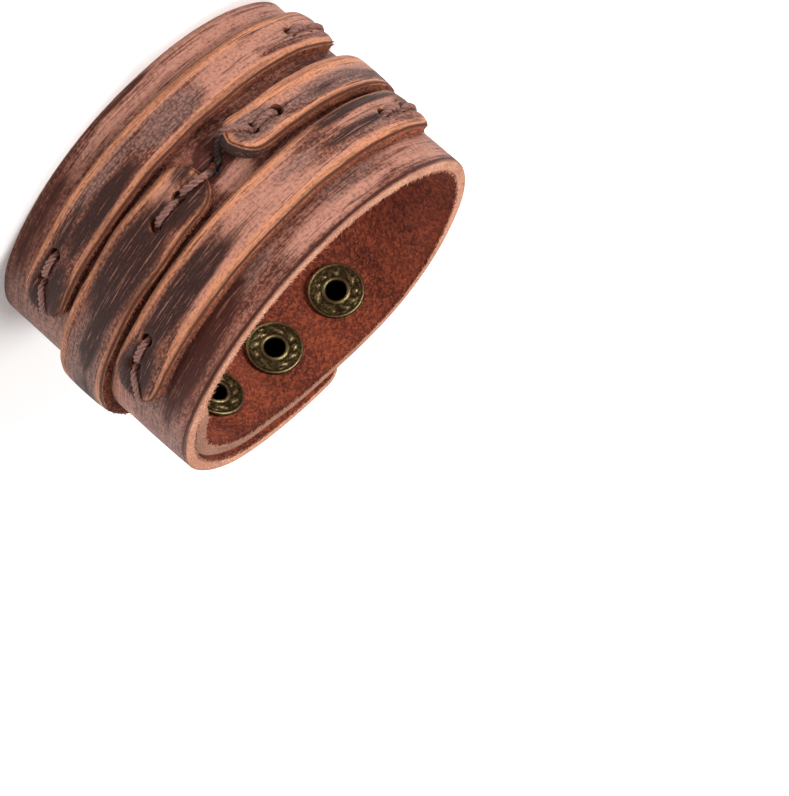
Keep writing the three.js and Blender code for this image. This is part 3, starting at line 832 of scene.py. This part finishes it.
# painted shade: the deep hole is painted near-black
bore_shade = add(tree, "MapRange", {"Value": raised, "From Min": -0.9, "From Max": -0.1, "To Min": 1, "To Max": 0})
colour = add(tree, "Mix", {0: bore_shade, 6: colour, 7: linear("#0b0704")}, **COLOUR_MIX)
gloss = add(tree, "MapRange", {"Value": bare, "To Min": 0.6, "To Max": 0.42})
dents = add(tree, "Bump", {"Strength": 0.6, "Distance": 0.1 * MM, "Height": coat})
surface = add(
    tree, "BsdfPrincipled", {"Base Color": colour, "Metallic": 1.0, "Roughness": gloss, "Normal": dents}
)
tree.links.new(surface, out.inputs["Surface"])
antique_brass = material
print("metal:", antique_brass.name)

# %% [markdown]
# Each snap has a cap and a socket on the flap, and a post and a stud on the layer beneath. All four are
# turned shapes, so each is a profile spun once round. The post's flange, inside the wrist, is stamped
# with a ring of scrolls round a deep hole, which is pressed into the spun face here as a wave that goes
# nine times round.

# %% Spinning and setting a snap piece
FLANGE_FACE = -2.05
SCROLLS, SCROLL_RADIUS, SCROLL_WIDTH, SCROLL_HEIGHT = 9, 3.55, 0.6, 0.36
BEAD_RADIUS, BEAD_WIDTH = 4.35, 0.28
STAMP_INSIDE, STAMP_OUTSIDE = 2.6, 4.75
# the deep hole's inside is painted near-black as shade
BORE_RADIUS, BORE_TOP = 1.93, -1.6  # the dark deep hole, up to its rounded mouth
POST_PROFILE = [  # radius and height in millimetres, from the bottom of the hole to the barrel's end
    (0, 1.8), (1.7, 1.8), (1.9, 1.6), (1.9, -1.5), (1.95, -1.95), (2.1, -2.2), (2.3, -2.28), (2.5, -2.2),
    (2.65, -2.0),
    *[(2.8 + 0.165 * k, FLANGE_FACE + 0.13) for k in range(12)],
    (4.75, -2.0), (4.9, -2.12), (5.08, -2.1), (5.2, -1.92), (5.25, -1.6), (5.2, -1.25), (5.0, -1.02),
    (2.5, -1.0), (2.4, -0.9), (2.4, 2.25), (2.25, 2.45), (0, 2.45),
]
STUD_PROFILE = [
    (2.7, 1.0), (4.35, 1.0), (4.4, 1.3), (4.25, 1.5), (3.7, 1.58), (3.3, 1.72), (3.2, 2.05), (3.34, 2.4),
    (3.25, 2.62), (3.0, 2.7), (2.78, 2.6), (2.7, 2.35), (2.7, 1.0),
]
SOCKET_PROFILE = [
    (2.7, -1.05), (5.8, -1.05), (6.0, -1.3), (6.0, -2.2), (5.8, -2.55), (5.3, -2.7), (4.1, -2.7),
    (3.75, -2.5), (3.65, -2.1), (3.65, -1.75), (2.7, -1.75), (2.7, -1.05),
]
CAP_PROFILE = [
    (0, -1.8), (2.3, -1.8), (2.4, -1.7), (2.4, 1.0), (6.1, 1.0), (6.2, 1.2), (6.2, 1.45), (6.1, 1.75),
    (5.8, 1.98), (5.3, 2.18), (4.4, 2.45), (3.2, 2.7), (1.7, 2.87), (0, 2.92),
]


def stamped(radius, angle, seed):
    """How far the scrolls stand up at a spot on the flange, from 0 to 1."""
    wave = math.cos(SCROLLS * angle + 1.7 * math.sin(2 * angle + seed) + 2.4 * (radius - SCROLL_RADIUS))
    leaf = math.exp(-(((radius - SCROLL_RADIUS) / SCROLL_WIDTH) ** 2)) * min(max(wave + 0.35, 0), 1)
    bead = math.exp(-(((radius - BEAD_RADIUS) / BEAD_WIDTH) ** 2)) * min(max(-wave - 0.1, 0), 1)
    rough = noise.noise((3.1 * radius * math.cos(angle), 3.1 * radius * math.sin(angle), seed * 4.7))
    inside = min(max((radius - STAMP_INSIDE) / 0.25, 0), 1)
    edge = inside * min(max((STAMP_OUTSIDE - radius) / 0.2, 0), 1)
    return edge * min(max(leaf + 0.7 * bead + 0.75 * rough, 0), 1)


def set_snap(name, profile, steps, s0, z0, seed, nodes):
    """Spins a snap piece, presses its ornament, and sets it square to the leather at (s0, z0)."""
    bm = bmesh.new()
    verts = [bm.verts.new((radius, 0, height)) for radius, height in profile]
    line = [bm.edges.new(pair) for pair in zip(verts, verts[1:])]
    bmesh.ops.spin(
        bm, geom=verts + line, cent=(0, 0, 0), axis=(0, 0, 1), angle=math.tau, steps=steps, use_merge=True
    )
    bmesh.ops.remove_doubles(bm, verts=bm.verts[:], dist=1e-4)
    bmesh.ops.recalc_face_normals(bm, faces=bm.faces[:])
    layer = bm.verts.layers.float.new("raised")
    out0 = outward(band_middle, np.array(s0), REACH)
    centre = band_middle(s0) + SHIFT
    for vert in bm.verts:
        x, y, h = vert.co
        radius, height = math.hypot(x, y), h
        if profile is POST_PROFILE:
            up = stamped(radius, math.atan2(y, x), seed) if h < -1.85 and 2.6 < radius < 4.8 else 0.0
            h -= SCROLL_HEIGHT * up
            ring = 0.75 if height < FLANGE_FACE else 0.25
            # inside the deep hole the attribute is set below zero, for its painted shade
            vert[layer] = -1.0 if radius < BORE_RADIUS and height > BORE_TOP else max(up, ring)
        else:
            vert[layer] = 0.1 + 0.4 * min(max((abs(height) - 1.5) / 1.0, 0), 1)
        plan = centre + (-out0[1] * x + out0[0] * h, out0[0] * x + out0[1] * h)
        vert.co = (plan[0] * MM, plan[1] * MM, (z0 + y) * MM)
    for face in bm.faces:
        face.smooth = True
    mesh = mesh_from(bm, name)
    mesh.materials.append(antique_brass)
    piece = show(name, mesh)
    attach(piece, "root")
    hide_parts(*nodes)
    return len(mesh.polygons)


# %% The snaps
faces = 0
for row, z0 in SNAP_ROWS.items():
    for seed, (where, s0) in enumerate(SNAP_PLACES.items()):
        name = f"{row}_{where}"
        faces += set_snap(f"post_{name}", POST_PROFILE, 72, s0, z0, seed + z0, [f"snap_post_{name}"])
        faces += set_snap(f"stud_{name}", STUD_PROFILE, 40, s0, z0, seed, [f"snap_stud_{name}"])
    faces += set_snap(f"socket_{row}", SOCKET_PROFILE, 40, FLAP_SNAP, z0, 0, [f"snap_socket_{row}"])
    faces += set_snap(f"cap_{row}", CAP_PROFILE, 48, FLAP_SNAP, z0, 0, [f"snap_cap_{row}"])
print("snap faces:", faces)

# %% [markdown]
# The thread is thick waxed cord of three strands twisted together. Each strand is a thin rod that is cut
# across, and then wound round the path that the thread takes: up out of one hole, down at the next, over
# the strap's end.

# %% Waxed thread
STRAND_RADIUS, STRAND_ORBIT, TWIST_LENGTH = 0.36, 0.32, 3.2
# the thread is painted darker as shade where it sinks below this height
SINK_FROM, SINK_DEPTH, SUNK_MOST = 3.0, 1.6, 0.92  # below this height the thread darkens, over this depth
material, tree, out = new_material("waxed_thread")
place = add(tree, "Attribute", output="Vector", attribute_name="strand")
fibres = add(tree, "VectorMath", {0: place, 1: (1.2, 6.0, 1.0)}, operation="MULTIPLY")
fibre = add(tree, "TexNoise", {"Vector": fibres, "Scale": 1.0, "Detail": 4.0})
wax = add(tree, "MapRange", {"Value": fibre, "From Min": 0.4, "From Max": 0.62})
colour = add(tree, "Mix", {0: wax, 6: linear("#33150f"), 7: linear("#a06d5f")}, **COLOUR_MIX)
# painted shade: the thread darkens where it sinks into the leather and in the tie's hollow
sunk = add(tree, "Attribute", output="Fac", attribute_name="sunk")
colour = add(tree, "Mix", {0: sunk, 6: colour, 7: linear("#210c09")}, **COLOUR_MIX)
relief = add(tree, "Bump", {"Strength": 0.7, "Distance": 0.1 * MM, "Height": fibre})
surface = add(tree, "BsdfPrincipled", {
    "Base Color": colour, "Roughness": 0.55, "IOR": 1.45, "Sheen Weight": 0.05, "Normal": relief,
})
tree.links.new(surface, out.inputs["Surface"])
waxed_thread = material
print("thread:", waxed_thread.name)


def smooth_path(points, step=0.25, passes=3):
    """A path through points in flat millimetres, evenly spaced and with its corners rounded."""
    points = np.array(points, dtype=float)
    far = np.concatenate([[0], np.cumsum(np.linalg.norm(np.diff(points, axis=0), axis=1))])
    even = np.linspace(0, far[-1], max(8, round(far[-1] / step)))
    path = np.column_stack([np.interp(even, far, points[:, k]) for k in range(3)])
    for _ in range(passes):
        path[1:-1] = (path[:-2] + 2 * path[1:-1] + path[2:]) / 4
    return path


def lay_thread(name, points, seed, shaded=()):
    """Twists three strands round a path in flat millimetres and bends them round the wrist.

    The thread is painted darker as shade where it sinks into the leather and where it lies in a patch of
    painted shade.
    """
    path = smooth_path(points)
    far = np.concatenate([[0], np.cumsum(np.linalg.norm(np.diff(path, axis=0), axis=1))])
    length = far[-1]
    ahead = np.gradient(path, axis=0)
    ahead /= np.linalg.norm(ahead, axis=1, keepdims=True)
    side = np.array([0.0, 1.0, 0.0]) - ahead * ahead[:, 1:2]
    side /= np.linalg.norm(side, axis=1, keepdims=True)
    over = np.cross(ahead, side)
    bm = bmesh.new()
    for strand in range(3):
        bmesh.ops.create_cone(
            bm, cap_ends=True, segments=8, radius1=STRAND_RADIUS, radius2=STRAND_RADIUS, depth=length,
            matrix=Matrix.Translation((0, 10 * strand, length / 2)),
        )
    for cut in np.arange(0.3, length, 0.3):
        everything = bm.verts[:] + bm.edges[:] + bm.faces[:]
        bmesh.ops.bisect_plane(bm, geom=everything, plane_co=(0, 0, cut), plane_no=(0, 0, 1), dist=1e-5)
    mesh = mesh_from(bm, name)
    rod = read_places(mesh)
    strand = np.round(rod[:, 1] / 10)
    x, y, t = rod[:, 0], rod[:, 1] - 10 * strand, rod[:, 2]
    angle = math.tau * (strand / 3 + t / TWIST_LENGTH)
    core, n, b = [
        np.column_stack([np.interp(t, far, part[:, k]) for k in range(3)]) for part in (path, side, over)
    ]
    sideways, outwards = STRAND_ORBIT * np.cos(angle) + x, STRAND_ORBIT * np.sin(angle) + y
    flat = core + sideways[:, None] * n + outwards[:, None] * b
    wound = np.column_stack([t, np.arctan2(y, x) + 3 * strand, np.full(len(t), seed)])
    store(mesh, "strand", "FLOAT_VECTOR", wound)
    # painted shade, darker the deeper the thread sinks, and in the patch of painted shade
    sunk = np.clip((SINK_FROM - flat[:, 2]) / SINK_DEPTH, 0, 1)
    sunk = np.maximum(sunk, np.minimum(soft_patches(flat, shaded), 1))
    store(mesh, "sunk", "FLOAT", SUNK_MOST * sunk)
    plan = plan_of(flat[:, 0], flat[:, 2])
    placed = np.column_stack([(plan + SHIFT) * MM, flat[:, 1] * MM])
    mesh.vertices.foreach_set("co", placed.ravel())
    mesh.polygons.foreach_set("use_smooth", [True] * len(mesh.polygons))
    mesh.materials.append(waxed_thread)
    mesh.update()
    piece = show(name, mesh)
    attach(piece, "root")
    return length


# %% The stitches at the strap ends
for name, side in STITCHED_ENDS:
    strap = STRAPS[name]
    d = 1 if side else -1
    end, z = strap["span"][side], strap["z"] - side * strap["drop"]
    b_hole = end - d * strap["stitched"]
    a_hole, c_hole = b_hole - d * STITCH_PITCH, end + d * STITCH_BEYOND
    climb = side * strap["climb"]
    route = [  # along, up and out, in flat millimetres
        (a_hole - d * 0.1, z, 1.0), (a_hole + d * 0.35, z, 2.7), (a_hole + d * 1.3, z, 3.8),
        (a_hole + d * 2.6, z + 0.1, 4.0), (b_hole - d * 1.4, z, 3.6), (b_hole - d * 0.7, z, 2.1),
        (b_hole, z, 1.4), (b_hole + d * 0.7, z, 2.1), (b_hole + d * 1.5, z + 0.15 * climb, 3.3),
        (b_hole + d * 3.0, z + 0.5 * climb, 3.6), (end - d * 1.0, z + 0.9 * climb, 3.3),
        (end + d * 0.1, z + climb, 2.7), (end + d * 1.0, z + 0.9 * climb, 1.9),
        (c_hole - d * 0.7, z + 0.3 * climb, 1.4), (c_hole, z, 0.6), (c_hole, z, -1.2),
    ]
    label = f"stitch_{name.split('_')[0]}_{'right' if side else 'left'}"
    print(label, round(lay_thread(label, route, side), 1), "mm")

# %% [markdown]
# The two middle pieces are tied to each other and to the band: the thread comes over the curled left tip,
# goes in and out again by one hole in the band between the tips, and climbs over the right tip to its two
# holes.

# %% The tie between the middle tips
left_end, left_z = STRAPS["middle_strap_left"]["span"][1], STRAPS["middle_strap_left"]["z"]
right_end, right_z = STRAPS["middle_strap_right"]["span"][0], STRAPS["middle_strap_right"]["z"]
over_left = [  # along, up and out, in flat millimetres from the tip
    (-11.0, 0, 1.0), (-10.5, 0, 2.7), (-9.6, -0.1, 3.8), (-8.0, -0.2, 4.0), (-6.6, -0.2, 3.5),
    (-5.6, -0.1, 1.5), (-4.5, -0.6, 3.5), (-3.0, -1.3, 4.2), (-1.8, -2.2, 4.1), (-1.0, -2.6, 3.0),
    (-0.1, -2.3, 1.4), (1.2, -1.4, 0.5),
]
through_band = [(-0.75, -0.2, 0.1), (-0.7, 0, -1.5), (0, 0, -2.3), (0.7, 0, -1.5), (0.75, 0.1, 0.1)]
over_right = [
    (-1.1, 0.5, 1.4), (-0.5, 0.9, 3.2), (0.7, 0.9, 3.9), (2.6, 0.5, 4.1), (4.0, -0.1, 3.5), (4.6, 0, 2.1),
    (5.3, 0, 1.4), (6.0, 0, 2.1), (6.7, 0, 3.5), (8.0, 0.2, 4.0), (9.6, 0, 3.8), (10.5, 0, 2.7),
    (11.0, 0, 1.0),
]
route = [
    *[(left_end + s, left_z + z, h) for s, z, h in over_left],
    *[(TIE_HOLE[0] + s, TIE_HOLE[1] + z, h) for s, z, h in through_band],
    *[(right_end + s, right_z + z, h) for s, z, h in over_right],
]
route = [(s, z, h + (float(lifted_tip(s)) if s < left_end else 0.0)) for s, z, h in route]
# painted shade on the thread in the hollow between the tips
hollow_shade = [(TIE_HOLE[0] - 0.8, TIE_HOLE[1] - 0.6, 2.2, 3.4, 1.5)]  # the shaded hollow between the tips
print("tie", round(lay_thread("tie_middle", route, 2, hollow_shade), 1), "mm")

# %% [markdown]
# Cut hide frays: short fibres stand along the rim and out of the straps' thick cut sides. Each fibre tuft
# is a three-sided spike, stood on the flat strip and bent with it, drawn a little thicker than real so
# that it shows.

# %% Frayed fibres
TUFT_RADIUS = 0.13
RIM_TUFT_PITCH, STRAP_TUFT_PITCH = 0.2, 0.13


def fray(name, tufts, material, bend):
    """Stands a spike on each (root, direction, length) in flat millimetres, then bends them all."""
    bm = bmesh.new()
    for root, towards, length in tufts:
        towards = Vector(towards).normalized()
        turned = towards.to_track_quat("Z", "Y").to_matrix().to_4x4()
        bmesh.ops.create_cone(
            bm, cap_ends=True, segments=3, radius1=TUFT_RADIUS, radius2=TUFT_RADIUS / 4, depth=length,
            matrix=Matrix.Translation(Vector(root) + towards * length / 2) @ turned,
        )
    mesh = mesh_from(bm, name)
    flat = read_places(mesh)
    store(mesh, "tape", "FLOAT_VECTOR", flat)
    plan, rise = bend(flat)
    mesh.vertices.foreach_set("co", np.column_stack([(plan + SHIFT) * MM, rise * MM]).ravel())
    mesh.materials.append(material)
    mesh.update()
    piece = show(name, mesh)
    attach(piece, "root")
    print(name, "tufts:", len(tufts))


chance = random.Random(5)
tufts = []
for s in np.arange(INNER_END + 4, FLAP_TIP - 6, RIM_TUFT_PITCH):
    root = (s + chance.uniform(-0.1, 0.1), BAND_WIDTH - chance.uniform(0.0, 0.25), -HALF_BAND + 0.15)
    towards = (chance.uniform(-1, 1), chance.uniform(-0.1, 0.6), -1)
    tufts.append((root, towards, chance.uniform(0.22, 0.8)))
fray("rim_fibres", tufts, pale_edge, bend_band)

for name, strap in STRAPS.items():
    (start, end), corner = strap["span"], STRAP_CORNER * strap["half"]
    top = strap["z"] + strap["half"]
    tufts = []
    for s in np.arange(start + 0.3, end - 0.3, STRAP_TUFT_PITCH):
        into_corner = max(start + corner - s, s - (end - corner), 0)
        edge_z = top - corner + math.sqrt(max(corner**2 - into_corner**2, 0))
        h = chance.uniform(STRAP_FACES[0], STRAP_FACES[1] - 0.5)
        towards = (chance.uniform(-0.8, 0.8), 1, chance.uniform(-0.3, 0.9))
        tufts.append(((s, edge_z - 0.12, h), towards, chance.uniform(0.2, 0.62)))
    fray(name + "_fibres", tufts, rust_edge, strap_bend(name))

# %% Sizes, and the end
low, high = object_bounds()
print("visual box, mm:", [round((b - a) / MM, 1) for a, b in zip(low, high)])
